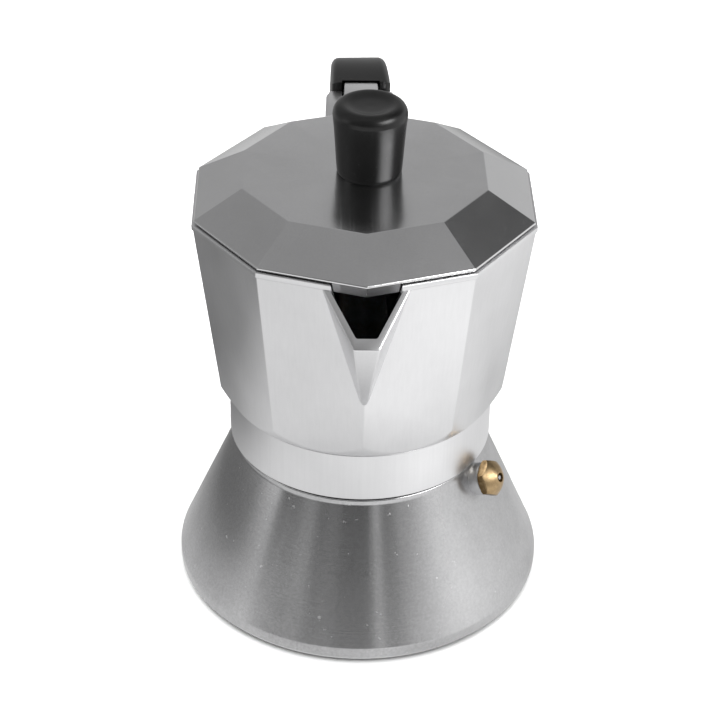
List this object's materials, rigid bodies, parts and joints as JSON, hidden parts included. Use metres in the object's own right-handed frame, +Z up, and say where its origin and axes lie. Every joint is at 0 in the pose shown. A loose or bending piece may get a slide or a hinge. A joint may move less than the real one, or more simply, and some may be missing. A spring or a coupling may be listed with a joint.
{
  "type": "moka pot",
  "caption": "Stove-top moka pot: conical boiler with safety valve, screw-on ten-sided upper pot with spout, hinged lid with knob, and side handle.",
  "frame": {"origin": "centre of the boiler's underside, on the surface that the pot stands on", "axes": "+Z up, spout towards -Y, handle towards +Y, safety valve in the -Y +X quarter"},
  "size_m": [0.1004, 0.1503, 0.1415],
  "materials": {
    "boiler_aluminium": "fine turned, lightly stained",
    "cast_aluminium": "satin, hand polished facets",
    "polished_aluminium": "polished",
    "spun_aluminium": "spun sheet",
    "steel": "plain",
    "brass": "dull machined",
    "seal_rubber": "matt silicone",
    "black_plastic": "moulded, gloss"
  },
  "bodies": {
    "boiler": {"boiler_body": "boiler_aluminium", "valve_washer": "spun_aluminium", "valve_body": "brass", "valve_cap": "brass", "valve_spring": "steel"},
    "valve_plunger": {"valve_pin": "steel"},
    "funnel": {"funnel_basket": "spun_aluminium", "funnel_stem": "spun_aluminium", "basket_sieve": "spun_aluminium"},
    "gasket_and_filter": {"gasket": "seal_rubber", "filter_plate": "spun_aluminium"},
    "upper": {"upper_pot": "cast_aluminium", "coffee_column": "cast_aluminium", "hinge_pin": "steel", "handle": "black_plastic", "handle_screw": "steel"},
    "lid_and_knob": {"lid": "polished_aluminium", "knob": "black_plastic", "knob_insert": "brass", "knob_washer": "steel", "knob_screw": "steel"}
  },
  "joints": [
    {"name": "valve_plunger_slide", "type": "slide", "parent": "boiler", "child": "valve_plunger", "axis": [0.8033, -0.4453, 0.3954], "range_m": [0, 0.0008], "stiffness_N_per_m": 800},
    {"name": "upper_lift", "type": "slide", "parent": "boiler", "child": "gasket_and_filter", "axis": [0, 0, 1], "range_m": [0, 0.12]},
    {"name": "funnel_lift", "type": "slide", "parent": "boiler", "child": "funnel", "axis": [0, 0, 1], "range_m": [0, 0.06]},
    {"name": "upper_turn", "type": "hinge", "parent": "gasket_and_filter", "child": "upper", "pos_m": [0, 0, 0.06], "axis": [0, 0, 1], "continuous": true},
    {"name": "lid_hinge", "type": "hinge", "parent": "upper", "child": "lid_and_knob", "pos_m": [0, 0.053, 0.1106], "axis": [-1, 0, 0], "range_deg": [0, 105]}
  ],
  "couplings": [
    {"joint": "funnel_lift", "follows": "upper_lift", "ratio": 0.5}
  ]
}
